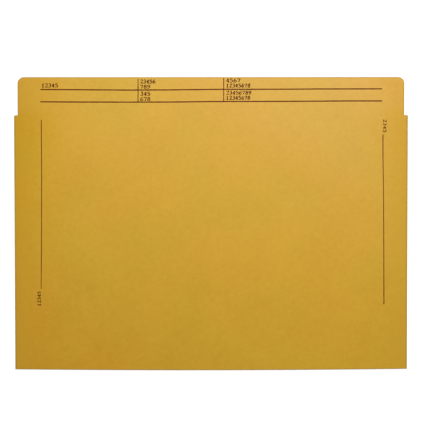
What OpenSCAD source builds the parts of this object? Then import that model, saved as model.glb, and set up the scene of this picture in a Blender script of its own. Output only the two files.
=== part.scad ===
// Flat file jacket of kraft card: a pocket closed on three sides, with a printed face that rises
// above the mouth as a tab. It lies on its pocket panel with the face up.
// +X runs across the jacket, +Y from the bottom fold to the tab, +Z up out of the face.
// The origin is under the middle of the jacket, on the surface that it lies on.

/* [Jacket] */
// Width from the outside of one side fold to the other
jacket_w = 298.5; // [240:0.5:380]
// Height of the pocket, from the bottom fold to the mouth
pocket_h = 193.5; // [120:0.5:300]
// Height of the tab above the mouth
tab_h = 28.7; // [15:0.1:60]
// Set-back of each side of the tab from the side fold
tab_inset = 2.9; // [2:0.1:10]
// Slope of the shoulder at each side of the tab
shoulder_slope = 4; // [0:0.5:20]
// Radius of the two top corners of the tab
tab_corner_r = 4.8; // [1:0.1:12]

/* [Card] */
// Thickness of the kraft card
card_t = 0.3; // [0.2:0.02:0.5]
// Clear gap in the empty pocket, between a seam flap and the face panel at the side fold
pocket_gap = 0.4; // [0.4:0.1:3]

/* [Mouth] */
// Rise of the face panel at the middle of the mouth when the jacket lies at rest
mouth_rise = 5; // [5:0.5:14]
// Width of the margin beside each side fold in which the face panel bends down to the fold
bow_margin = 40; // [30:1:100]
// Angle by which the face panel lifts further when the mouth is opened
open_deg = 5; // [1:0.5:8]

/* [Seams] */
// Set-back of each side of the pocket panel from the side fold
pocket_inset = 2.9; // [1.5:0.1:6]
// Height over which the sides of the pocket panel run in from the bottom fold to that set-back
pocket_taper_h = 14; // [4:0.5:40]
// Width of each seam flap, from the side fold to its free edge
flap_w = 22; // [18:0.5:40]
// Slope of the two cut ends of a seam flap
flap_taper = 13; // [4:1:25]
// Width of the line of glue in each seam
glue_w = 8; // [3:0.5:11]
// Thickness of the line of glue
glue_t = 0.1; // [0.04:0.02:0.2]
// Length of bare flap beyond each end of the line of glue
glue_end = 4; // [1:0.5:15]

/* [Clearances] */
// Gap between the face panel and each side fold
side_clear = 0.06; // [0.04:0.01:0.2]
// Gap left at the bottom fold, by the face panel when the mouth is wide open and by the side folds
fold_clear = 0.06; // [0.04:0.01:0.2]

/* [Hidden] */
$fn = 64;

face_colour = [0.85, 0.67, 0.27];
inside_colour = [0.8, 0.62, 0.25];
fold_colour = [0.78, 0.59, 0.22];
glue_colour = [0.9, 0.86, 0.74];

// Overrun of a cutting shape past what it cuts
cut_over = 1;
// Strips across each bending margin of the face panel, and strips from its bottom to its top
margin_steps = 8;
rise_steps = 6;

// Levels of the stacked card, from the pocket panel up to the face panel
flap_z = card_t + glue_t;
face_z = flap_z + card_t + pocket_gap;

// The two rolled folds: each turns the card through half a circle
side_r_in = pocket_gap / 2;
side_r_out = side_r_in + card_t;
side_fold_x = jacket_w / 2 - side_r_out;
side_fold_z = flap_z + side_r_out;
bottom_r_in = (face_z - card_t) / 2;
bottom_r_out = bottom_r_in + card_t;
bottom_fold_z = bottom_r_out;

// Lines across the jacket, from the bottom fold to the top of the tab
bottom_y = -(pocket_h + tab_h) / 2;
top_y = bottom_y + pocket_h + tab_h;
mouth_y = bottom_y + pocket_h;
bottom_fold_y = bottom_y + bottom_r_out;
face_foot_y = bottom_fold_y + bottom_r_out * sin(open_deg) + fold_clear;

// Half widths of the panels, and the free edge of a flap
fold_half = jacket_w / 2;
tab_half = fold_half - tab_inset;
pocket_half = fold_half - pocket_inset;
face_half = side_fold_x - side_clear;
flap_edge_x = fold_half - flap_w;

// The shoulders of the tab, from the mouth out to the side folds
shoulder = tan(shoulder_slope);
shoulder_y = mouth_y - (face_half - tab_half) * shoulder;

// The cut ends of a flap: the upper one starts at the shoulder and the lower one at the bottom fold,
// and both slope away round the half circle of the side fold and on to the free edge
taper = tan(flap_taper);
round_slope = taper * PI / 2;
round_drop = 2 * side_r_out * round_slope;
flap_drop = (side_fold_x - flap_edge_x) * taper;
fold_high_y = mouth_y - (side_fold_x - tab_half) * shoulder;
fold_low_y = bottom_fold_y + fold_clear;
flap_high_y = fold_high_y - round_drop;
flap_low_y = fold_low_y + round_drop;

// Share of the rise that the face panel has at x: none at the side fold, all of it past the margin
function arch(t) = t * (2 - t);
function bow(x) = arch(min(1, max(0, (face_half - abs(x)) / bow_margin)));

// Rise of the face panel above its folds: it grows in straight lines from the bottom fold
function face_rise(x, y) = mouth_rise * bow(x) * (y - bottom_fold_y) / (mouth_y - bottom_fold_y);

// Columns and rows of the bowed sheet that the face panel is cut from
margin_xs = [for (i = [0:margin_steps]) face_half - bow_margin * i / margin_steps];
half_xs = concat([face_half + cut_over], margin_xs);
last_half = len(half_xs) - 1;
sheet_xs = concat([for (x = half_xs) -x], [for (i = [last_half:-1:0]) half_xs[i]]);
sheet_low_y = face_foot_y - cut_over;
sheet_high_y = top_y + cut_over;
sheet_top_z = face_z + card_t + face_rise(0, sheet_high_y);
sheet_ys = [for (j = [0:rise_steps]) sheet_low_y + (sheet_high_y - sheet_low_y) * j / rise_steps];

module half_ring(r_in, r_out) {
    difference() {
        circle(r_out);
        circle(r_in);
        translate([0, -r_out - cut_over])
            square([r_out + cut_over, 2 * (r_out + cut_over)]);
    }
}

// Outline of the face panel: square at the foot, a shoulder at the mouth, round at the top corners
module face_outline() {
    polygon([
        [-face_half, face_foot_y],
        [face_half, face_foot_y],
        [face_half, shoulder_y],
        [tab_half, mouth_y],
        [tab_half, top_y - tab_corner_r],
        [-tab_half, top_y - tab_corner_r],
        [-tab_half, mouth_y],
        [-face_half, shoulder_y]
    ]);
    translate([-(tab_half - tab_corner_r), mouth_y])
        square([2 * (tab_half - tab_corner_r), tab_h]);
    for (side = [-1, 1])
        translate([side * (tab_half - tab_corner_r), top_y - tab_corner_r])
            circle(tab_corner_r);
}

// The bowed sheet as a grid of two layers, one card thickness apart
module bowed_sheet() {
    columns = len(sheet_xs);
    rows = len(sheet_ys);
    layer = columns * rows;
    points = [
        for (lift = [0, card_t])
            for (y = sheet_ys)
                for (x = sheet_xs)
                    [x, y, face_z + face_rise(x, y) + lift]
    ];
    under = [
        for (j = [0:rows - 2])
            for (i = [0:columns - 2])
                let (a = j * columns + i, b = a + columns)
                    each [[a, a + 1, b + 1], [a, b + 1, b]]
    ];
    over = [for (f = under) [f[0] + layer, f[2] + layer, f[1] + layer]];
    rim = concat(
        [for (i = [0:columns - 1]) i],
        [for (j = [1:rows - 1]) j * columns + columns - 1],
        [for (i = [columns - 2:-1:0]) (rows - 1) * columns + i],
        [for (j = [rows - 2:-1:1]) j * columns]
    );
    edge = [
        for (k = [0:len(rim) - 1])
            let (a = rim[k], b = rim[(k + 1) % len(rim)])
                each [[a, a + layer, b + layer], [a, b + layer, b]]
    ];
    polyhedron(points, concat(under, over, edge));
}

module face_panel() {
    color(face_colour)
        intersection() {
            bowed_sheet();
            linear_extrude(sheet_top_z + cut_over)
                face_outline();
        }
}

module pocket_panel() {
    color(inside_colour)
        linear_extrude(card_t)
            polygon([
                [-fold_half, bottom_fold_y],
                [fold_half, bottom_fold_y],
                [pocket_half, bottom_fold_y + pocket_taper_h],
                [pocket_half, mouth_y],
                [-pocket_half, mouth_y],
                [-pocket_half, bottom_fold_y + pocket_taper_h]
            ]);
}

module bottom_fold() {
    color(fold_colour)
        translate([-fold_half, bottom_fold_y, bottom_fold_z])
            rotate([90, 0, 90])
                linear_extrude(jacket_w)
                    half_ring(bottom_r_in, bottom_r_out);
}

// A side fold's length, seen from the side: both ends slope from the face round to the flap
module side_fold_length() {
    polygon([
        [flap_low_y, side_fold_z - side_r_out],
        [flap_high_y, side_fold_z - side_r_out],
        [fold_high_y, side_fold_z + side_r_out],
        [fold_low_y, side_fold_z + side_r_out]
    ]);
}

module right_side_fold() {
    color(fold_colour)
        intersection() {
            translate([side_fold_x, top_y, side_fold_z])
                rotate([90, 0, 0])
                    linear_extrude(top_y - bottom_y)
                        mirror([1, 0])
                            half_ring(side_r_in, side_r_out);
            translate([side_fold_x - cut_over, 0, 0])
                rotate([90, 0, 90])
                    linear_extrude(side_r_out + 2 * cut_over)
                        side_fold_length();
        }
}

module left_side_fold() {
    mirror([1, 0, 0])
        right_side_fold();
}

module right_seam_flap() {
    color(inside_colour)
        translate([0, 0, flap_z])
            linear_extrude(card_t)
                polygon([
                    [side_fold_x, flap_low_y],
                    [side_fold_x, flap_high_y],
                    [flap_edge_x, flap_high_y - flap_drop],
                    [flap_edge_x, flap_low_y + flap_drop]
                ]);
}

module left_seam_flap() {
    mirror([1, 0, 0])
        right_seam_flap();
}

// The line of glue runs down the middle of the strip where the flap and the pocket panel overlap
module right_glue_line() {
    middle = (pocket_half + flap_edge_x) / 2;
    low = flap_low_y + flap_drop + glue_end;
    high = flap_high_y - flap_drop - glue_end;
    color(glue_colour)
        translate([middle - glue_w / 2, low, card_t])
            cube([glue_w, high - low, glue_t]);
}

module left_glue_line() {
    mirror([1, 0, 0])
        right_glue_line();
}

face_panel();
pocket_panel();
bottom_fold();
left_side_fold();
right_side_fold();
left_seam_flap();
right_seam_flap();
left_glue_line();
right_glue_line();
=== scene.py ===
"""A flat kraft card file jacket, dressed over its solids: bowed face, rolled folds, printed form."""
import math

import bpy
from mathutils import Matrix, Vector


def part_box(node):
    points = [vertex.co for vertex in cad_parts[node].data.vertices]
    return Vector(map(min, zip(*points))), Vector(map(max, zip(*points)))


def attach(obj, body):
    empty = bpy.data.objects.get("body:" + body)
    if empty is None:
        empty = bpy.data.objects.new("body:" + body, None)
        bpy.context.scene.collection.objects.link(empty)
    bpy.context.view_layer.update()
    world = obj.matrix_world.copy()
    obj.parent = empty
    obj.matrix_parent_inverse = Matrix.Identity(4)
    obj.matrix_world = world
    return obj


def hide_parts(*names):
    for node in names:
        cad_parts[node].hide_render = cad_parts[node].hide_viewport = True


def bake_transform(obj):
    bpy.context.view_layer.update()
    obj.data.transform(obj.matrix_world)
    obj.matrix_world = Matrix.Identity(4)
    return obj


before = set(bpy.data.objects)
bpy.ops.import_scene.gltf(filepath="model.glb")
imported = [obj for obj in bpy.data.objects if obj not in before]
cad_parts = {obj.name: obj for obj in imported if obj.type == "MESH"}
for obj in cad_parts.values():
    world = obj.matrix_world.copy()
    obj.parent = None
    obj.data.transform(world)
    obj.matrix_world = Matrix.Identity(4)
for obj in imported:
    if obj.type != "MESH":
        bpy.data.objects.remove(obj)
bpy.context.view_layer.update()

# Sizes of the jacket in metres, read from its solids
MM = 0.001
side_low, side_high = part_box("right_side_fold")
crease_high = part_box("bottom_fold")[1]
face_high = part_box("face_panel")[1]
panel_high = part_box("pocket_panel")[1]
FOLD_HALF = side_high.x
SIDE_FOLD_X = side_low.x
SIDE_R = (side_high.z - side_low.z) / 2
SIDE_Z = (side_high.z + side_low.z) / 2
CREASE_R = crease_high.z / 2
BOTTOM_FOLD_Y = crease_high.y
FACE_TOP = crease_high.z
FACE_HALF = face_high.x
TOP_Y = face_high.y
MOUTH_Y = panel_high.y
CARD_T = panel_high.z
# Sizes that no box gives
TAB_INSET = 2.9 * MM
TAB_CORNER_R = 4.8 * MM
SHOULDER_SLOPE = math.tan(math.radians(4))
POCKET_INSET = 2.9 * MM
POCKET_TAPER_H = 14.0 * MM
FLAP_TAPER = math.tan(math.radians(13))
BOW_MARGIN = 40.0 * MM
# Sizes that follow from those
TAB_HALF = FOLD_HALF - TAB_INSET
POCKET_HALF = FOLD_HALF - POCKET_INSET
SHOULDER_Y = MOUTH_Y - (SIDE_FOLD_X - TAB_HALF) * SHOULDER_SLOPE
MOUTH_RISE = (face_high.z - FACE_TOP) * (MOUTH_Y - BOTTOM_FOLD_Y) / (TOP_Y - BOTTOM_FOLD_Y)

# How far the bottom crease bellies out between its corners, and how far up the card that reaches
CREASE_BELLY = 0.9 * MM
BELLY_REACH = 70.0 * MM
# Slow unevenness of the lying card: its height, and its waves to the metre
CARD_WAVE = 0.5 * MM
WAVE_SCALE = 17.0
# Crumple of a rolled crease: its height, its ripples to the metre, and the level that counts as smooth
CREASE_CRUMPLE = 0.04 * MM
CRUMPLE_SCALE = 90.0
CRUMPLE_SMOOTH = 0.6
# Width of the darker rim along an edge, and the powers by which it fades into the card and over a crease
RIM_W = 1.5 * MM
RIM_FADE = 2.0
CREASE_FADE = 0.4
# Width beside each side fold that gets painted shade where the card bends down to the fold, and the line
# above which that gives out
FOLD_SHADE_W = 24.0 * MM
FOLD_SHADE_HIGH_Y = MOUTH_Y - 6.0 * MM
# Width at each end of the tab that gets painted light, which makes it paler, and the two lines between
# which that sets in
TAB_LIGHT_W = 44.0 * MM
TAB_LIGHT_LOW_Y = MOUTH_Y - 4.0 * MM
TAB_LIGHT_HIGH_Y = MOUTH_Y + 8.0 * MM
# Fineness of the sheets: their columns, the heights of their rows, and the steps round a corner
FACE_COLUMNS = 78
POCKET_COLUMNS = 120
FACE_ROW = 2.6 * MM
TAPER_ROW = 2.4 * MM
POCKET_ROW = 3.2 * MM
CORNER_STEPS = 12
# Fineness of the rolled creases: rows round the half circle, and steps along the side and bottom creases
ROLL_ROWS = 21
SIDE_ROLL_STEPS = 120
BOTTOM_ROLL_STEPS = 160
# Fineness of the inked strokes, how much their width wavers, and the grains of that to the metre
STROKE_STEP = 0.3 * MM
STROKE_UNEVENNESS = 0.3
STROKE_GRAIN = 900.0
# Angle above which an edge of a piece is sharp
SHARP_ANGLE = math.radians(40)


# Nodes

def plug(tree, socket, value):
    """Sets an input of a node, or links it."""
    if isinstance(value, bpy.types.NodeSocket):
        tree.links.new(value, socket)
    else:
        socket.default_value = value


def add(tree, kind, plugs=None, **settings):
    """A new node with its settings made and its inputs filled."""
    node = tree.nodes.new(kind)
    for key, value in settings.items():
        setattr(node, key, value)
    for key, value in (plugs or {}).items():
        plug(tree, node.inputs[key], value)
    return node


def sums(tree, operation, *values):
    """One step of arithmetic on numbers."""
    return add(tree, "ShaderNodeMath", dict(enumerate(values)), operation=operation).outputs[0]


def ranged(tree, value, low, high, to_low, to_high, step="SMOOTHSTEP"):
    """Maps a number from one range to another, held at the ends."""
    node = add(
        tree,
        "ShaderNodeMapRange",
        {"Value": value, "From Min": low, "From Max": high, "To Min": to_low, "To Max": to_high},
        interpolation_type=step,
    )
    return node.outputs["Result"]


def new_tree(name, inputs, outputs):
    """An empty Geometry Nodes tree with named inputs and outputs, and its two end nodes."""
    tree = bpy.data.node_groups.new(name, "GeometryNodeTree")
    for label, kind, value in inputs:
        socket = tree.interface.new_socket(label, in_out="INPUT", socket_type=kind)
        if value is not None:
            socket.default_value = value
    for label, kind in outputs:
        tree.interface.new_socket(label, in_out="OUTPUT", socket_type=kind)
    return tree, tree.nodes.new("NodeGroupInput").outputs, tree.nodes.new("NodeGroupOutput").inputs


GEOMETRY = ("Geometry", "NodeSocketGeometry", None)
MATERIAL = ("Material", "NodeSocketMaterial", None)
LAY_INPUTS = [
    ("Level", "NodeSocketFloat", FACE_TOP),
    ("Rise", "NodeSocketFloat", MOUTH_RISE),
    ("Margin", "NodeSocketFloat", BOW_MARGIN),
    ("Face Half", "NodeSocketFloat", FACE_HALF),
    ("Fold Y", "NodeSocketFloat", BOTTOM_FOLD_Y),
    ("Mouth Y", "NodeSocketFloat", MOUTH_Y),
    ("Wave", "NodeSocketFloat", CARD_WAVE),
    ("Belly", "NodeSocketFloat", CREASE_BELLY),
]


def lay_of_the_card():
    """Node group: puts a flat point on the lying card, which rises from the folds to the mouth."""
    tree, given, result = new_tree(
        "lay_of_the_card",
        [("Point", "NodeSocketVector", None)] + LAY_INPUTS,
        [("Point", "NodeSocketVector")],
    )
    at = add(tree, "ShaderNodeSeparateXYZ", {0: given["Point"]}).outputs
    inward = sums(tree, "SUBTRACT", given["Face Half"], sums(tree, "ABSOLUTE", at["X"]))
    reached = ranged(tree, inward, 0.0, given["Margin"], 0.0, 1.0, "LINEAR")
    share = sums(tree, "MULTIPLY", reached, sums(tree, "SUBTRACT", 2.0, reached))
    up = sums(tree, "SUBTRACT", at["Y"], given["Fold Y"])
    grown = sums(tree, "DIVIDE", up, sums(tree, "SUBTRACT", given["Mouth Y"], given["Fold Y"]))
    lift = sums(tree, "MULTIPLY", sums(tree, "MULTIPLY", given["Rise"], share), grown)
    wave = add(
        tree,
        "ShaderNodeTexNoise",
        {"Vector": given["Point"], "Scale": WAVE_SCALE, "Detail": 1.0, "Roughness": 0.4},
    ).outputs[0]
    uneven = sums(tree, "MULTIPLY", sums(tree, "SUBTRACT", wave, 0.5), given["Wave"])
    uneven = sums(tree, "MULTIPLY", uneven, sums(tree, "MULTIPLY", share, grown))
    height = sums(tree, "ADD", sums(tree, "ADD", given["Level"], lift), uneven)
    across = sums(tree, "POWER", sums(tree, "DIVIDE", at["X"], FOLD_HALF), 2.0)
    belly = sums(tree, "MULTIPLY", given["Belly"], sums(tree, "SUBTRACT", 1.0, across))
    belly = sums(tree, "MULTIPLY", belly, ranged(tree, up, 0.0, BELLY_REACH, 1.0, 0.0))
    y = sums(tree, "SUBTRACT", at["Y"], belly)
    point = add(tree, "ShaderNodeCombineXYZ", {"X": at["X"], "Y": y, "Z": height})
    tree.links.new(point.outputs[0], result["Point"])
    return tree


LAY = lay_of_the_card()


def laid(tree, given, point):
    """The point laid on the card, with the tree's own sizes handed on."""
    plugs = {"Point": point}
    for label, _, _ in LAY_INPUTS:
        plugs[label] = given[label]
    node = tree.nodes.new("GeometryNodeGroup")
    node.node_tree = LAY
    for key, value in plugs.items():
        plug(tree, node.inputs[key], value)
    return node.outputs["Point"]


def closing(tree, result, geometry, material):
    """The end of every tree: real geometry, smooth, in its material."""
    real = add(tree, "GeometryNodeRealizeInstances", {"Geometry": geometry}).outputs["Geometry"]
    smooth = add(tree, "GeometryNodeSetShadeSmooth", {"Geometry": real}).outputs["Geometry"]
    done = add(tree, "GeometryNodeSetMaterial", {"Geometry": smooth, "Material": material})
    tree.links.new(done.outputs["Geometry"], result["Geometry"])


def cut_sheet_tree():
    """A sheet of card between two shares of its width, cut to the outline of its base polyline.

    Its points say how far they lie in the darker rim, in the painted shade beside a side fold and in the
    painted light at the ends of the tab, and how near they are to the upper right corner (1) or the lower
    left one (-1).
    """
    tree, given, result = new_tree(
        "cut_sheet",
        [
            GEOMETRY,
            ("Columns", "NodeSocketInt", FACE_COLUMNS),
            ("From", "NodeSocketFloat", 0.0),
            ("To", "NodeSocketFloat", 1.0),
        ]
        + LAY_INPUTS
        + [
            ("Rim Width", "NodeSocketFloat", RIM_W),
            ("Painted Fold Shade Width", "NodeSocketFloat", FOLD_SHADE_W),
            ("Painted Tab Light Width", "NodeSocketFloat", TAB_LIGHT_W),
            MATERIAL,
        ],
        [GEOMETRY[:2]],
    )
    count = add(tree, "GeometryNodeAttributeDomainSize", {"Geometry": given["Geometry"]})
    rows = count.outputs["Point Count"]
    grid = add(tree, "GeometryNodeMeshGrid", {"Vertices X": given["Columns"], "Vertices Y": rows})
    index = tree.nodes.new("GeometryNodeInputIndex").outputs[0]
    column = sums(tree, "FLOOR", sums(tree, "DIVIDE", sums(tree, "ADD", index, 0.5), rows))
    row = sums(tree, "ROUND", sums(tree, "SUBTRACT", index, sums(tree, "MULTIPLY", column, rows)))
    edge = add(
        tree,
        "GeometryNodeSampleIndex",
        {
            "Geometry": given["Geometry"],
            "Value": tree.nodes.new("GeometryNodeInputPosition").outputs[0],
            "Index": row,
        },
        data_type="FLOAT_VECTOR",
        domain="POINT",
    ).outputs["Value"]
    at = add(tree, "ShaderNodeSeparateXYZ", {0: edge}).outputs
    along = sums(tree, "DIVIDE", column, sums(tree, "SUBTRACT", given["Columns"], 1.0))
    span = sums(tree, "SUBTRACT", given["To"], given["From"])
    share = sums(tree, "ADD", given["From"], sums(tree, "MULTIPLY", along, span))
    x = sums(tree, "MULTIPLY", at["X"], share)
    flat = add(tree, "ShaderNodeCombineXYZ", {"X": x, "Y": at["Y"]}).outputs[0]
    inside = sums(tree, "MULTIPLY", at["X"], sums(tree, "SUBTRACT", 1.0, sums(tree, "ABSOLUTE", share)))
    below = sums(tree, "SUBTRACT", TOP_Y, at["Y"])
    rim = ranged(tree, sums(tree, "MINIMUM", inside, below), 0.0, given["Rim Width"], 1.0, 0.0)
    # Painted shade beside each side fold below the mouth, where the card bends down to the fold
    painted_fold_shade = ranged(tree, inside, 0.0, given["Painted Fold Shade Width"], 1.0, 0.0)
    painted_fold_shade = sums(tree, "MULTIPLY", painted_fold_shade, ranged(tree, at["Y"], FOLD_SHADE_HIGH_Y, TOP_Y, 1.0, 0.0))
    # Painted light: the ends of the tab are made paler above the mouth
    painted_tab_light = ranged(tree, inside, 0.0, given["Painted Tab Light Width"], 1.0, 0.0)
    painted_tab_light = sums(tree, "MULTIPLY", painted_tab_light, ranged(tree, at["Y"], TAB_LIGHT_LOW_Y, TAB_LIGHT_HIGH_Y, 0.0, 1.0))
    # How near the upper right corner: the card gets a painted sheen there and painted shade towards the
    # lower left
    across = sums(tree, "DIVIDE", x, FACE_HALF)
    corner = sums(tree, "MULTIPLY", sums(tree, "ADD", across, sums(tree, "DIVIDE", at["Y"], TOP_Y)), 0.5)
    placed = add(
        tree,
        "GeometryNodeSetPosition",
        {"Geometry": grid.outputs["Mesh"], "Position": laid(tree, given, flat)},
    ).outputs["Geometry"]
    for label, value in (("rim", rim), ("painted_fold_shade", painted_fold_shade), ("corner", corner), ("painted_tab_light", painted_tab_light)):
        placed = add(
            tree,
            "GeometryNodeStoreNamedAttribute",
            {"Geometry": placed, "Name": label, "Value": value},
            data_type="FLOAT",
            domain="POINT",
        ).outputs["Geometry"]
    closing(tree, result, placed, given["Material"])
    return tree


def rolled_fold_tree():
    """A crease rolled through half a circle along a straight fold, with sloping ends."""
    tree, given, result = new_tree(
        "rolled_fold",
        [
            GEOMETRY,
            ("Steps", "NodeSocketInt", SIDE_ROLL_STEPS),
            ("Centre", "NodeSocketVector", None),
            ("Along", "NodeSocketVector", None),
            ("Outward", "NodeSocketVector", None),
            ("Radius", "NodeSocketFloat", 1.0 * MM),
            ("Low", "NodeSocketFloat", 0.0),
            ("High", "NodeSocketFloat", 1.0),
            ("Slope", "NodeSocketFloat", 0.0),
            ("Belly", "NodeSocketFloat", 0.0),
            ("Crumple", "NodeSocketFloat", CREASE_CRUMPLE),
            ("Seed", "NodeSocketFloat", 3.0),
            MATERIAL,
        ],
        [GEOMETRY[:2]],
    )
    grid = add(tree, "GeometryNodeMeshGrid", {"Vertices X": given["Steps"], "Vertices Y": ROLL_ROWS})
    index = tree.nodes.new("GeometryNodeInputIndex").outputs[0]
    column = sums(tree, "FLOOR", sums(tree, "DIVIDE", sums(tree, "ADD", index, 0.5), float(ROLL_ROWS)))
    row = sums(tree, "SUBTRACT", index, sums(tree, "MULTIPLY", column, float(ROLL_ROWS)))
    turned = sums(tree, "SUBTRACT", sums(tree, "DIVIDE", row, ROLL_ROWS - 1.0), 0.5)
    angle = sums(tree, "MULTIPLY", turned, math.pi)
    share = sums(tree, "DIVIDE", column, sums(tree, "SUBTRACT", given["Steps"], 1.0))
    rise = sums(tree, "MULTIPLY", given["Radius"], sums(tree, "SINE", angle))
    drop = sums(tree, "MULTIPLY", sums(tree, "SUBTRACT", given["Radius"], rise), given["Slope"])
    low = sums(tree, "ADD", given["Low"], drop)
    high = sums(tree, "SUBTRACT", given["High"], drop)
    length = sums(tree, "SUBTRACT", high, low)
    place = sums(tree, "ADD", low, sums(tree, "MULTIPLY", share, length))
    across = sums(tree, "POWER", sums(tree, "DIVIDE", place, given["High"]), 2.0)
    belly = sums(tree, "MULTIPLY", given["Belly"], sums(tree, "SUBTRACT", 1.0, across))
    ripple = add(
        tree,
        "ShaderNodeTexNoise",
        {
            "W": sums(tree, "ADD", sums(tree, "MULTIPLY", place, CRUMPLE_SCALE), given["Seed"]),
            "Scale": 1.0,
            "Detail": 3.0,
        },
        noise_dimensions="1D",
    ).outputs[0]
    crown = sums(tree, "COSINE", angle)
    dent = sums(tree, "MULTIPLY", sums(tree, "SUBTRACT", ripple, CRUMPLE_SMOOTH), given["Crumple"])
    reach = sums(tree, "ADD", sums(tree, "MULTIPLY", given["Radius"], crown), belly)
    reach = sums(tree, "ADD", reach, sums(tree, "MULTIPLY", dent, crown))
    point = given["Centre"]
    for direction, far in ((given["Along"], place), (given["Outward"], reach)):
        part = add(tree, "ShaderNodeVectorMath", {0: direction, "Scale": far}, operation="SCALE").outputs[0]
        point = add(tree, "ShaderNodeVectorMath", {0: point, 1: part}, operation="ADD").outputs[0]
    up = add(tree, "ShaderNodeCombineXYZ", {"Z": rise}).outputs[0]
    point = add(tree, "ShaderNodeVectorMath", {0: point, 1: up}, operation="ADD").outputs[0]
    placed = add(
        tree, "GeometryNodeSetPosition", {"Geometry": grid.outputs["Mesh"], "Position": point}
    ).outputs["Geometry"]
    # A darker rim, strongest where the crease turns outward
    marked = add(
        tree,
        "GeometryNodeStoreNamedAttribute",
        {"Geometry": placed, "Name": "rim", "Value": sums(tree, "POWER", crown, CREASE_FADE)},
        data_type="FLOAT",
        domain="POINT",
    ).outputs["Geometry"]
    closing(tree, result, marked, given["Material"])
    return tree


def printed_strokes_tree():
    """Inked strokes along the edges of a base mesh, as wide as its points say, laid on the card."""
    tree, given, result = new_tree(
        "printed_strokes",
        [
            GEOMETRY,
            ("Step", "NodeSocketFloat", STROKE_STEP),
            ("Unevenness", "NodeSocketFloat", STROKE_UNEVENNESS),
        ]
        + LAY_INPUTS
        + [MATERIAL],
        [GEOMETRY[:2]],
    )
    curve = add(tree, "GeometryNodeMeshToCurve", {"Mesh": given["Geometry"]}).outputs["Curve"]
    fine = add(
        tree, "GeometryNodeResampleCurve", {"Curve": curve, "Length": given["Step"]}, mode="LENGTH"
    ).outputs["Curve"]
    level = add(tree, "GeometryNodeSetCurveNormal", {"Curve": fine}, mode="Z_UP").outputs["Curve"]
    spot = tree.nodes.new("GeometryNodeInputPosition").outputs[0]
    grain = add(
        tree, "ShaderNodeTexNoise", {"Vector": spot, "Scale": STROKE_GRAIN, "Detail": 2.0}
    ).outputs[0]
    uneven = sums(tree, "MULTIPLY", sums(tree, "SUBTRACT", grain, 0.5), given["Unevenness"])
    width = add(tree, "GeometryNodeInputNamedAttribute", {"Name": "width"}, data_type="FLOAT")
    radius = sums(tree, "MULTIPLY", width.outputs["Attribute"], sums(tree, "ADD", 1.0, uneven))
    nib = add(tree, "GeometryNodeSetCurveRadius", {"Curve": level, "Radius": radius}).outputs["Curve"]
    profile = add(tree, "GeometryNodeCurvePrimitiveLine", {"Start": (-0.5, 0, 0), "End": (0.5, 0, 0)})
    ribbon = add(
        tree,
        "GeometryNodeCurveToMesh",
        {
            "Curve": nib,
            "Profile Curve": profile.outputs["Curve"],
            "Scale": tree.nodes.new("GeometryNodeInputRadius").outputs[0],
        },
    ).outputs["Mesh"]
    here = tree.nodes.new("GeometryNodeInputPosition").outputs[0]
    placed = add(
        tree, "GeometryNodeSetPosition", {"Geometry": ribbon, "Position": laid(tree, given, here)}
    ).outputs["Geometry"]
    closing(tree, result, placed, given["Material"])
    return tree


def polyline(name, points):
    """A base mesh of points joined in one run, for a tree to work on."""
    mesh = bpy.data.meshes.new(name)
    mesh.from_pydata(points, [(i, i + 1) for i in range(len(points) - 1)], [])
    return mesh


def strokes(name, runs):
    """A base mesh of separate strokes: each is a list of (x, y, width)."""
    points, edges, widths = [], [], []
    for run in runs:
        edges += [(len(points) + i, len(points) + i + 1) for i in range(len(run) - 1)]
        points += [(x, y, 0) for x, y, _ in run]
        widths += [w for _, _, w in run]
    mesh = bpy.data.meshes.new(name)
    mesh.from_pydata(points, edges, [])
    mesh.attributes.new("width", "FLOAT", "POINT").data.foreach_set("value", widths)
    return mesh


def made(name, tree, base, values, thickness):
    """Runs a tree on a base mesh, gives the sheet its thickness, and keeps the plain mesh."""
    piece = bpy.data.objects.new(name, base)
    bpy.context.scene.collection.objects.link(piece)
    run = piece.modifiers.new("tree", "NODES")
    run.node_group = tree
    names = {item.name: item.identifier for item in tree.interface.items_tree if item.in_out == "INPUT"}
    for label, value in values.items():
        run[names[label]] = value
    wall = piece.modifiers.new("thickness", "SOLIDIFY")
    wall.thickness = thickness
    wall.offset = -1.0
    wall.use_even_offset = True
    bpy.context.view_layer.update()
    seen = piece.evaluated_get(bpy.context.evaluated_depsgraph_get())
    mesh = bpy.data.meshes.new_from_object(seen)
    piece.modifiers.clear()
    mesh.set_sharp_from_angle(angle=SHARP_ANGLE)
    mesh.name = name
    piece.data = mesh
    return piece


# Finishes

def finish(name):
    """A new material: its tree and its one shader."""
    material = bpy.data.materials.new(name)
    material.use_nodes = True
    tree = material.node_tree
    return material, tree, tree.nodes["Principled BSDF"]


def mixed(tree, share, first, second):
    """Two colours mixed by a share."""
    node = add(tree, "ShaderNodeMix", data_type="RGBA")
    plug(tree, node.inputs[0], share)
    plug(tree, node.inputs[6], first)
    plug(tree, node.inputs[7], second)
    return node.outputs[2]


def noise(tree, where, scale, detail, rough=0.55, stretch=(1, 1, 1)):
    """Noise over the object, stretched along its axes."""
    mapped = add(tree, "ShaderNodeMapping", {"Vector": where, "Scale": stretch}).outputs[0]
    return add(
        tree,
        "ShaderNodeTexNoise",
        {"Vector": mapped, "Scale": scale, "Detail": detail, "Roughness": rough},
    ).outputs[0]


def mark(tree, label):
    """What the points of a piece say under a label, and 0 on a piece that lacks it."""
    return add(tree, "ShaderNodeAttribute", attribute_name=label).outputs["Fac"]


def shaded(colour, shade):
    """A colour with each of its three parts held back."""
    return tuple(part * kept for part, kept in zip(colour, shade)) + (1,)


# Lie of the pulp's fibres: turn in the sheet, length to width, fineness and share of the whole
FIBRE_LIE = (
    (0.1, 8.0, 2300.0, 0.3),
    (0.75, 6.0, 2000.0, 0.22),
    (1.6, 5.0, 1900.0, 0.2),
    (2.45, 6.0, 2100.0, 0.28),
)
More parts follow.
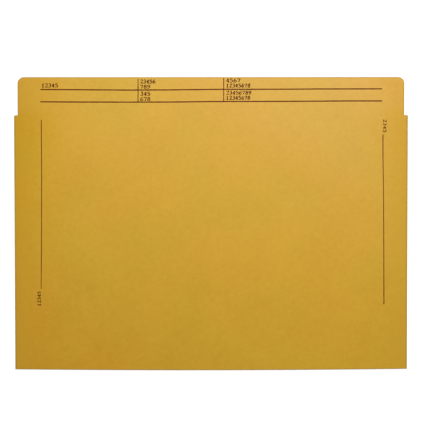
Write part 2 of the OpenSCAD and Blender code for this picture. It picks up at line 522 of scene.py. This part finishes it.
# Curl of the fibres: its bends to the metre and how far they reach
CURL_SCALE = 260.0
CURL_REACH = (2.2 * MM, 2.2 * MM, 0.0)
# Patches to the metre: slow drift of hue, clouds, flocks of pulp, shives and felt
DRIFT_SCALE = 15.0
CLOUD_SCALE = 26.0
FLOCK_SCALE = 240.0
SHIVE_SCALE = 260.0
FELT_SCALE = 900.0
# Shares of clouds, flocks and fibres in the card's tone, and the tones of dark and of pale card
CLOUD_SHARE = 0.3
FLOCK_SHARE = 0.35
FIBRE_SHARE = 0.35
TONE_DARK = 0.3
TONE_PALE = 0.7
# The two tints between which the card's hue drifts
YELLOWER = (0.984, 1.006, 0.975, 1)
REDDER = (1.022, 0.985, 1.02, 1)
# Painted light and shade added to the colour: painted shade at the lower left, a painted sheen at the upper
# right, and painted light at the ends of the tab
SHADE_LOWER_LEFT = (-0.008, -0.03, -0.003)
SHEEN_UPPER_RIGHT = (0.01, 0.001, 0.021)
TAB_END_LIGHT = (0.024, 0.021, 0.018)
# Lie of the shives, and the shades of shives and of the painted fold shade against dark card
SHIVE_TURN = (0, 0, 0.4)
SHIVE_STRETCH = (0.35, 1, 1)
SHIVE_SHADE = (0.6, 0.55, 0.5)
FOLD_SHADE_TINT = (1, 0.99, 0.85)
# How a noise becomes a share: two of its levels, and the shares that go with them
FIBRE_SPAN = (0.35, 0.65, 0.0, 1.0)
DRIFT_SPAN = (0.36, 0.64, 0.0, 1.0)
SHIVE_SPAN = (0.04, 0.1, 1.0, 0.0)
SHIVE_FEW = (0.5, 0.58, 0.0, 0.35)
FOLD_SHADE_SPAN = (0.3, 0.7, 0.2, 0.6)
DARKER_RIM_SPAN = (0.85, 1.2, 0.4, 0.75)
# The same for how near to its corner the card gets the painted shade and the painted sheen
SHADE_LOWER_LEFT_SPAN = (-0.3, -1.0, 0.0, 1.0)
SHEEN_UPPER_RIGHT_SPAN = (0.1, 1.0, 0.0, 1.0)
# The same for how starved the ink is, and how rough the card, the ink and the glue are
STARVED_SPAN = (0.52, 0.75, 0.0, 0.7)
CARD_ROUGH = (TONE_DARK, TONE_PALE, 0.42, 0.54)
INK_ROUGH = (0.3, 0.7, 0.5, 0.75)
GLUE_ROUGH = (0.3, 0.7, 0.3, 0.55)
# Gloss of the card and of the ink
CARD_GLOSS = 0.5
INK_GLOSS = 0.06
# Shares of fibres and felt in the card's relief, and the strength of the reliefs
FIBRE_RELIEF = 0.6
FELT_RELIEF = 0.4
CARD_RELIEF = 0.3
INK_RELIEF = 0.2
GLUE_RELIEF = 0.4
# Depths of the felt, of the ink's grain and of the streaks in the glue
FELT_DEPTH = 0.06 * MM
INK_DEPTH = 0.03 * MM
STREAK_DEPTH = 0.1 * MM
# Grain of the ink and streaks of the glue, to the metre
INK_SCALE = 1500.0
STREAK_SCALE = 900.0
STREAK_STRETCH = (1, 0.12, 1)


def felted(tree, where):
    """Curled fibres that lie every way in the sheet, most of them along the web."""
    curl = add(tree, "ShaderNodeTexNoise", {"Vector": where, "Scale": CURL_SCALE, "Detail": 2.0})
    bent = add(
        tree,
        "ShaderNodeVectorMath",
        {0: curl.outputs["Color"], 1: CURL_REACH, 2: where},
        operation="MULTIPLY_ADD",
    ).outputs[0]
    total = 0.0
    for turn, length, fineness, share in FIBRE_LIE:
        along = add(
            tree,
            "ShaderNodeMapping",
            {"Vector": bent, "Rotation": (0, 0, turn), "Scale": (length, 1, 1)},
            vector_type="TEXTURE",
        ).outputs[0]
        strand = add(
            tree,
            "ShaderNodeTexNoise",
            {"Vector": along, "Scale": fineness, "Detail": 2.0, "Roughness": 0.6},
        ).outputs[0]
        total = sums(tree, "ADD", total, sums(tree, "MULTIPLY", strand, share))
    return total


def kraft(name, dark, middle, pale, rim_tone=(0, 0, 0), rim_share=0.0):
    """Kraft card: clouds, felted fibres and a few shives, with painted shade beside the side folds and at
    the lower left, painted light at the tab's ends and at the upper right, and a darker rim.
    """
    material, tree, shader = finish(name)
    where = tree.nodes.new("ShaderNodeTexCoord").outputs["Object"]
    cloud = noise(tree, where, CLOUD_SCALE, 3.0)
    flock = noise(tree, where, FLOCK_SCALE, 4.0, 0.6)
    fibre = felted(tree, where)
    tone = sums(tree, "MULTIPLY", cloud, CLOUD_SHARE)
    tone = sums(tree, "ADD", tone, sums(tree, "MULTIPLY", flock, FLOCK_SHARE))
    strands = ranged(tree, fibre, *FIBRE_SPAN, "LINEAR")
    tone = sums(tree, "ADD", tone, sums(tree, "MULTIPLY", strands, FIBRE_SHARE))
    ramp = tree.nodes.new("ShaderNodeValToRGB")
    ramp.color_ramp.elements[0].position = TONE_DARK
    ramp.color_ramp.elements[0].color = (*dark, 1)
    ramp.color_ramp.elements[1].position = TONE_PALE
    ramp.color_ramp.elements[1].color = (*pale, 1)
    centre = ramp.color_ramp.elements.new(0.5)
    centre.color = (*middle, 1)
    plug(tree, ramp.inputs[0], tone)
    drift = ranged(tree, noise(tree, where, DRIFT_SCALE, 2.0), *DRIFT_SPAN)
    tint = mixed(tree, drift, YELLOWER, REDDER)
    colour = add(
        tree, "ShaderNodeVectorMath", {0: ramp.outputs[0], 1: tint}, operation="MULTIPLY"
    ).outputs[0]
    corner = mark(tree, "corner")
    # Painted light and shade: a sheen towards the upper right, warmer shade towards the lower left, paler
    # ends of the tab
    painted_light_and_shade = (
        (SHADE_LOWER_LEFT, ranged(tree, corner, *SHADE_LOWER_LEFT_SPAN)),
        (SHEEN_UPPER_RIGHT, ranged(tree, corner, *SHEEN_UPPER_RIGHT_SPAN)),
        (TAB_END_LIGHT, mark(tree, "painted_tab_light")),
    )
    for gain, share in painted_light_and_shade:
        colour = add(
            tree, "ShaderNodeVectorMath", {0: gain, 1: share, 2: colour}, operation="MULTIPLY_ADD"
        ).outputs[0]
    lie = add(
        tree, "ShaderNodeMapping", {"Vector": where, "Rotation": SHIVE_TURN, "Scale": SHIVE_STRETCH}
    ).outputs[0]
    shive = add(tree, "ShaderNodeTexVoronoi", {"Vector": lie, "Scale": SHIVE_SCALE}).outputs["Distance"]
    few = ranged(tree, flock, *SHIVE_FEW)
    fleck = sums(tree, "MULTIPLY", ranged(tree, shive, *SHIVE_SPAN), few)
    colour = mixed(tree, fleck, colour, shaded(dark, SHIVE_SHADE))
    # Painted shade beside the side folds, patchy, standing for the card bending down to the fold
    patchy_fold_shade = sums(tree, "MULTIPLY", mark(tree, "painted_fold_shade"), ranged(tree, cloud, *FOLD_SHADE_SPAN))
    colour = mixed(tree, patchy_fold_shade, colour, shaded(dark, FOLD_SHADE_TINT))
    # A darker rim along the cut edges and the crowns of the creases
    rim = sums(tree, "POWER", mark(tree, "rim"), RIM_FADE)
    darker_rim = sums(tree, "MULTIPLY", rim, ranged(tree, sums(tree, "ADD", fibre, flock), *DARKER_RIM_SPAN))
    colour = mixed(tree, sums(tree, "MULTIPLY", darker_rim, rim_share), colour, (*rim_tone, 1))
    tree.links.new(colour, shader.inputs["Base Color"])
    rough = ranged(tree, tone, *CARD_ROUGH, "LINEAR")
    tree.links.new(rough, shader.inputs["Roughness"])
    shader.inputs["Specular IOR Level"].default_value = CARD_GLOSS
    felt = noise(tree, where, FELT_SCALE, 3.0)
    height = sums(tree, "MULTIPLY", fibre, FIBRE_RELIEF)
    height = sums(tree, "ADD", height, sums(tree, "MULTIPLY", felt, FELT_RELIEF))
    relief = {"Strength": CARD_RELIEF, "Distance": FELT_DEPTH, "Height": height}
    bump = add(tree, "ShaderNodeBump", relief)
    tree.links.new(bump.outputs[0], shader.inputs["Normal"])
    return material


def printing_ink(name, full, thin):
    """Form ink, a little starved where the card's fibres stand up."""
    material, tree, shader = finish(name)
    where = tree.nodes.new("ShaderNodeTexCoord").outputs["Object"]
    starved = noise(tree, where, INK_SCALE, 3.0, 0.65)
    colour = mixed(tree, ranged(tree, starved, *STARVED_SPAN), (*full, 1), (*thin, 1))
    tree.links.new(colour, shader.inputs["Base Color"])
    tree.links.new(ranged(tree, starved, *INK_ROUGH, "LINEAR"), shader.inputs["Roughness"])
    shader.inputs["Specular IOR Level"].default_value = INK_GLOSS
    relief = {"Strength": INK_RELIEF, "Distance": INK_DEPTH, "Height": starved}
    bump = add(tree, "ShaderNodeBump", relief)
    tree.links.new(bump.outputs[0], shader.inputs["Normal"])
    return material


def dried_glue(name, clear, milky):
    """A dull film of dried adhesive, streaked along the seam."""
    material, tree, shader = finish(name)
    where = tree.nodes.new("ShaderNodeTexCoord").outputs["Object"]
    streak = noise(tree, where, STREAK_SCALE, 3.0, stretch=STREAK_STRETCH)
    tree.links.new(mixed(tree, streak, (*clear, 1), (*milky, 1)), shader.inputs["Base Color"])
    tree.links.new(ranged(tree, streak, *GLUE_ROUGH, "LINEAR"), shader.inputs["Roughness"])
    relief = {"Strength": GLUE_RELIEF, "Distance": STREAK_DEPTH, "Height": streak}
    bump = add(tree, "ShaderNodeBump", relief)
    tree.links.new(bump.outputs[0], shader.inputs["Normal"])
    return material


KRAFT_FACE = kraft(
    "kraft_face",
    dark=(0.615, 0.335, 0.008),
    middle=(0.66, 0.368, 0.011),
    pale=(0.705, 0.4, 0.016),
    rim_tone=(0.35, 0.2, 0.024),
    rim_share=0.9,
)
KRAFT_FOLD = kraft(
    "kraft_fold",
    dark=(0.6, 0.325, 0.011),
    middle=(0.65, 0.36, 0.015),
    pale=(0.7, 0.4, 0.022),
    rim_tone=(0.38, 0.22, 0.026),
    rim_share=0.8,
)
KRAFT_INSIDE = kraft(
    "kraft_inside",
    dark=(0.58, 0.33, 0.022),
    middle=(0.64, 0.37, 0.03),
    pale=(0.7, 0.42, 0.045),
)
INK = printing_ink("form_ink", full=(0.125, 0.024, 0.006), thin=(0.21, 0.075, 0.013))
GLUE = dried_glue("dried_glue", clear=(0.42, 0.27, 0.09), milky=(0.7, 0.56, 0.3))


# Pieces

CUT_SHEET = cut_sheet_tree()
ROLLED_FOLD = rolled_fold_tree()
PRINTED_STROKES = printed_strokes_tree()


def spread(low, high, step):
    """Evenly spread values from low up to, but not at, high."""
    count = max(1, round((high - low) / step))
    return [low + (high - low) * i / count for i in range(count)]


def face_edge():
    """The right-hand edge of the face, from the bottom crease up round the tab's corner."""
    points = [(SIDE_FOLD_X, y, 0) for y in spread(BOTTOM_FOLD_Y, SHOULDER_Y, FACE_ROW)]
    points += [(SIDE_FOLD_X, SHOULDER_Y, 0)]
    points += [(TAB_HALF, y, 0) for y in spread(MOUTH_Y, TOP_Y - TAB_CORNER_R, FACE_ROW)]
    for i in range(CORNER_STEPS + 1):
        turn = math.radians(90 * i / CORNER_STEPS)
        x = TAB_HALF - TAB_CORNER_R + TAB_CORNER_R * math.cos(turn)
        y = TOP_Y - TAB_CORNER_R + TAB_CORNER_R * math.sin(turn)
        points.append((x, y, 0))
    return points


def pocket_edge():
    """The right-hand edge of the pocket panel, running in from the bottom crease to the mouth."""
    high = BOTTOM_FOLD_Y + POCKET_TAPER_H
    points = []
    for y in spread(BOTTOM_FOLD_Y, high, TAPER_ROW):
        x = FOLD_HALF + (POCKET_HALF - FOLD_HALF) * (y - BOTTOM_FOLD_Y) / POCKET_TAPER_H
        points.append((x, y, 0))
    points += [(POCKET_HALF, y, 0) for y in spread(high, MOUTH_Y, POCKET_ROW)]
    return points + [(POCKET_HALF, MOUTH_Y, 0)]


def bend_with_the_mouth(piece):
    """Bakes the piece's placement into its mesh."""
    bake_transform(piece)


for side, label, low, high in ((-1, "left", -1.0, 0.0), (1, "right", 0.0, 1.0)):
    half = made(
        f"face_sheet_{label}",
        CUT_SHEET,
        polyline("face_edge", face_edge()),
        {"From": low, "To": high, "Material": KRAFT_FACE},
        CARD_T,
    )
    bend_with_the_mouth(half)
    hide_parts("face_panel")

    roll = made(
        f"{label}_side_roll",
        ROLLED_FOLD,
        polyline("fold", [(0, 0, 0)]),
        {
            "Centre": (side * SIDE_FOLD_X, 0, SIDE_Z),
            "Along": (0, side, 0),
            "Outward": (side, 0, 0),
            "Radius": SIDE_R,
            "Low": BOTTOM_FOLD_Y if side > 0 else -SHOULDER_Y,
            "High": SHOULDER_Y if side > 0 else -BOTTOM_FOLD_Y,
            "Slope": FLAP_TAPER * math.pi / 2,
            "Seed": 5.0 + side,
            "Material": KRAFT_FOLD,
        },
        CARD_T,
    )
    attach(roll, "pocket")
    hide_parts(f"{label}_side_fold")

bottom_roll = made(
    "bottom_roll",
    ROLLED_FOLD,
    polyline("fold", [(0, 0, 0)]),
    {
        "Steps": BOTTOM_ROLL_STEPS,
        "Centre": (0, BOTTOM_FOLD_Y, CREASE_R),
        "Along": (1, 0, 0),
        "Outward": (0, -1, 0),
        "Radius": CREASE_R,
        "Low": -FOLD_HALF,
        "High": FOLD_HALF,
        "Belly": CREASE_BELLY,
        "Material": KRAFT_FOLD,
    },
    CARD_T,
)
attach(bottom_roll, "pocket")
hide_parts("bottom_fold")

pocket_sheet = made(
    "pocket_sheet",
    CUT_SHEET,
    polyline("pocket_edge", pocket_edge()),
    {
        "Columns": POCKET_COLUMNS,
        "From": -1.0,
        "To": 1.0,
        "Level": CARD_T,
        "Rise": 0.0,
        "Wave": 0.0,
        "Material": KRAFT_FACE,
    },
    CARD_T,
)
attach(pocket_sheet, "pocket")
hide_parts("pocket_panel")

for label in ("left", "right"):
    for name, material in ((f"{label}_seam_flap", KRAFT_INSIDE), (f"{label}_glue_line", GLUE)):
        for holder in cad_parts[name].material_slots:
            holder.material = material

# The ink's thickness, and its upper side, which leaves the ink a hair clear of the card
INK_T = 0.02 * MM
INK_LEVEL = FACE_TOP + 0.03 * MM
# The printed form in millimetres: two rules across the tab, a divider and a line down the side.
# A point's third number is how far the ink spread there.
RULE_W = 0.9
DIVIDER_W = 0.64
SIDE_LINE_W = 0.58
LINE_WIDTHS = (RULE_W, RULE_W, DIVIDER_W, SIDE_LINE_W)
LINES = {
    "left": [
        [(-128.9, 101.80), (-98.7, 101.60), (-60.8, 101.31), (-34.3, 101.42), (-15.3, 101.58), (0, 101.80)],
        [(-128.9, 92.50), (-98.7, 92.32), (-60.8, 92.24), (-34.3, 92.27), (-15.3, 92.42), (0, 92.64)],
        [(-55.1, 109.80), (-55.2, 92.10)],
        [
            (-128.34, 78.60, 1.12),
            (-128.30, 37.60),
            (-128.53, 13.40),
            (-128.85, -23.00),
            (-129.05, -35.20),
            (-129.28, -49.60, 0.82),
        ],
    ],
    "right": [
        [(0, 101.80), (37.7, 101.90), (60, 101.93), (83, 102.07), (105, 102.11), (129.3, 102.12)],
        [(0, 92.64), (37.7, 92.71), (60, 92.79), (83, 92.91), (105, 93.04), (129.3, 93.02)],
        [(9.5, 110.30), (9.5, 92.70)],
        [
            (130.04, 67.60, 1.2),
            (130.16, 49.70, 1.15),
            (130.38, 37.60),
            (130.76, 25.40),
            (131.17, -23.20, 1.1),
            (131.45, -61.60, 1.25),
        ],
    ],
}
# Each field's figures, their width and height, their turn in quarter turns, and where they start
FIGURES = {
    "left": [
        ("12345", 12.3, 2.9, 0, (-127.9, 103.40)),
        ("23456", 11.3, 2.9, 0, (-53.4, 106.30)),
        ("789", 7.4, 2.9, 0, (-53.4, 102.40)),
        ("345", 7.4, 2.9, 0, (-53.4, 97.10)),
        ("678", 7.4, 2.9, 0, (-53.4, 93.10)),
        ("12345", 11.1, 2.5, 1, (-129.5, -62.50)),
    ],
    "right": [
        ("4567", 10.7, 2.9, 0, (11.4, 107.10)),
        ("12345678", 18.1, 2.9, 0, (11.4, 103.20)),
        ("23456789", 18.9, 2.8, 0, (11.4, 97.90)),
        ("12345678", 18.1, 2.9, 0, (11.4, 94.00)),
        ("2345", 9.8, 2.5, 3, (130.2, 79.10)),
    ],
}
# Degrees between the points of an arc, and the fewest steps in one
ARC_STEP = 12
ARC_LEAST = 5


def arc(x, y, half_w, half_h, start, end):
    """Points round an ellipse, from one angle to another in degrees."""
    count = max(ARC_LEAST, round(abs(end - start) / ARC_STEP))
    turns = [math.radians(start + (end - start) * i / count) for i in range(count + 1)]
    return [(x + half_w * math.cos(t), y + half_h * math.sin(t)) for t in turns]


# Figures drawn with a broad nib, each in a box 0.6 wide and 1 high
NIB = {
    "1": [[(0.1, 0.8), (0.31, 0.97)], [(0.31, 0), (0.31, 0.98)], [(0.1, 0.03), (0.52, 0.03)]],
    "2": [
        arc(0.29, 0.72, 0.23, 0.26, 165, -20) + [(0.36, 0.42), (0.06, 0.06)],
        [(0.04, 0.05), (0.54, 0.05)],
        [(0.53, 0.03), (0.56, 0.2)],
    ],
    "3": [arc(0.27, 0.74, 0.2, 0.23, 150, -90), arc(0.27, 0.27, 0.25, 0.25, 90, -150)],
    "4": [
        [(0.41, 0.98), (0.03, 0.3)],
        [(0.03, 0.28), (0.58, 0.28)],
        [(0.41, 0), (0.41, 0.98)],
        [(0.26, 0.03), (0.56, 0.03)],
    ],
    "5": [
        [(0.14, 0.95), (0.53, 0.95)],
        [(0.15, 0.95), (0.12, 0.53)],
        arc(0.27, 0.31, 0.26, 0.29, 125, -150),
    ],
    "6": [arc(0.3, 0.29, 0.23, 0.27, 0, 360), arc(0.5, 0.32, 0.43, 0.66, 175, 90)],
    "7": [[(0.05, 0.93), (0.56, 0.93)], [(0.05, 0.97), (0.05, 0.78)], [(0.55, 0.92), (0.22, 0.0)]],
    "8": [arc(0.3, 0.75, 0.19, 0.22, 0, 360), arc(0.3, 0.27, 0.24, 0.25, 0, 360)],
    "9": [arc(0.3, 0.7, 0.23, 0.27, 0, 360), arc(0.1, 0.67, 0.43, 0.66, -5, -90)],
}
NIB_BOX = 0.6
# Slant of the nib, and how late in the turn away from that slant its stroke broadens
NIB_ANGLE = math.radians(22)
NIB_LATE = 1.5
# Thinnest stroke, and what it gains at its broadest, as shares of a figure's height
NIB_THIN = 0.13
NIB_GAIN = 0.16
# Millimetres between two figures
FIGURE_GAP = 0.5


def figure_strokes(text, width, height, quarter, corner):
    """A row of figures as strokes in metres, drawn as wide as the row allows with a slanted nib."""
    figure_w = (width - FIGURE_GAP * (len(text) - 1)) / len(text)
    turn = quarter * math.pi / 2
    runs = []
    for place, figure in enumerate(text):
        for line in NIB[figure]:
            run = []
            for i, (x, y) in enumerate(line):
                near, far = line[max(0, i - 1)], line[min(len(line) - 1, i + 1)]
                way = math.atan2((far[1] - near[1]) * height, (far[0] - near[0]) * figure_w / NIB_BOX)
                steep = abs(math.sin(way - NIB_ANGLE))
                u, v = place * (figure_w + FIGURE_GAP) + x * figure_w / NIB_BOX, y * height
                across = corner[0] + u * math.cos(turn) - v * math.sin(turn)
                up = corner[1] + u * math.sin(turn) + v * math.cos(turn)
                broad = height * (NIB_THIN + NIB_GAIN * steep**NIB_LATE)
                run.append((across * MM, up * MM, broad * MM))
            runs.append(run)
    return runs


def line_stroke(points, width):
    """A printed line as a stroke in metres."""
    run = []
    for x, y, *ink in points:
        swell = ink[0] if ink else 1
        run.append((x * MM, y * MM, width * swell * MM))
    return run


for side, label in ((-1, "left"), (1, "right")):
    runs = [line_stroke(line, width) for line, width in zip(LINES[label], LINE_WIDTHS)]
    for field in FIGURES[label]:
        runs += figure_strokes(*field)
    form = made(
        f"printed_form_{label}",
        PRINTED_STROKES,
        strokes("strokes", runs),
        {"Level": INK_LEVEL, "Material": INK},
        INK_T,
    )
    bend_with_the_mouth(form)


# Camera, light and floor

# The camera hangs over the tab and looks down, all but square to the face
LENS_MM = 190.87
SENSOR_MM = 36.0
CAMERA_PLACE = (-0.0075, 0.10206, 1.73)
CAMERA_TURN = (-0.05519, -0.00606, -0.00056)
CAMERA_NEAR = 0.05
CAMERA_FAR = 50.0
# One soft lamp above the tab, aimed at the middle of the jacket
LAMP_PLACE = (0.1, 0.4, 0.78)
LAMP_SIDE = 0.3
LAMP_POWER = 7.3
# Light from all round, and the white backdrop that shows behind the jacket in low views
ROOM_LIGHT = 0.12
BACKDROP_LIGHT = 1.0
BACKDROP_FROM = 0.3
BACKDROP_TO = 0.6
# The floor: half its side, its level, the light that it throws back, and how it looks
FLOOR_HALF = 4.0
FLOOR_Z = -0.3 * MM
FLOOR_BOUNCE = (0.8, 0.8, 0.8, 1)
FLOOR_SHADE = (0.4, 0.4, 0.4, 1)
FLOOR_GLOW = 0.85
WHITE = (1, 1, 1, 1)

lens = bpy.data.cameras.new("camera")
lens.lens = LENS_MM
lens.sensor_width = SENSOR_MM
lens.clip_start, lens.clip_end = CAMERA_NEAR, CAMERA_FAR
camera = bpy.data.objects.new("camera", lens)
camera.location = CAMERA_PLACE
camera.rotation_euler = CAMERA_TURN
bpy.context.scene.collection.objects.link(camera)
bpy.context.scene.camera = camera

bulb = bpy.data.lights.new("lamp_top", "AREA")
bulb.shape = "SQUARE"
bulb.size = LAMP_SIDE
bulb.energy = LAMP_POWER
lamp = bpy.data.objects.new("lamp_top", bulb)
lamp.location = LAMP_PLACE
lamp.rotation_euler = (-lamp.location).to_track_quat("-Z", "Y").to_euler()
lamp.visible_camera = False
bpy.context.scene.collection.objects.link(lamp)


def seen_directly(tree):
    """1 for what the camera sees, in mirrors and through glass too."""
    path = tree.nodes.new("ShaderNodeLightPath").outputs
    both = sums(tree, "MAXIMUM", path["Is Camera Ray"], path["Is Glossy Ray"])
    return sums(tree, "MAXIMUM", both, path["Is Transmission Ray"])


world = bpy.data.worlds.new("studio")
world.use_nodes = True
bpy.context.scene.world = world
tree = world.node_tree
tree.nodes.clear()
dim = add(tree, "ShaderNodeBackground", {"Color": WHITE, "Strength": ROOM_LIGHT})
bright = add(tree, "ShaderNodeBackground", {"Color": WHITE, "Strength": BACKDROP_LIGHT})
toward = tree.nodes.new("ShaderNodeTexCoord").outputs["Generated"]
steep = sums(tree, "ABSOLUTE", add(tree, "ShaderNodeSeparateXYZ", {0: toward}).outputs["Z"])
backdrop = ranged(tree, steep, BACKDROP_FROM, BACKDROP_TO, 1.0, 0.0)
share = sums(tree, "MULTIPLY", seen_directly(tree), backdrop)
either = add(tree, "ShaderNodeMixShader", {0: share, 1: dim.outputs[0], 2: bright.outputs[0]})
sky = tree.nodes.new("ShaderNodeOutputWorld")
tree.links.new(either.outputs[0], sky.inputs["Surface"])

floor_mesh = bpy.data.meshes.new("floor")
floor_corners = [(x * FLOOR_HALF, y * FLOOR_HALF, FLOOR_Z) for x, y in ((-1, -1), (1, -1), (1, 1), (-1, 1))]
floor_mesh.from_pydata(floor_corners, [], [(0, 1, 2, 3)])
floor = bpy.data.objects.new("floor", floor_mesh)
bpy.context.scene.collection.objects.link(floor)
paper_white, tree, shader = finish("floor_white")
tree.nodes.remove(shader)
matte = add(tree, "ShaderNodeBsdfDiffuse", {"Color": FLOOR_BOUNCE})
shade = add(tree, "ShaderNodeBsdfDiffuse", {"Color": FLOOR_SHADE})
glow = add(tree, "ShaderNodeEmission", {"Color": WHITE, "Strength": FLOOR_GLOW})
lit = add(tree, "ShaderNodeAddShader", {0: shade.outputs[0], 1: glow.outputs[0]})
either = add(tree, "ShaderNodeMixShader", {0: seen_directly(tree), 1: matte.outputs[0], 2: lit.outputs[0]})
tree.links.new(either.outputs[0], tree.nodes["Material Output"].inputs["Surface"])
floor_mesh.materials.append(paper_white)

bpy.context.scene.view_settings.view_transform = "Standard"
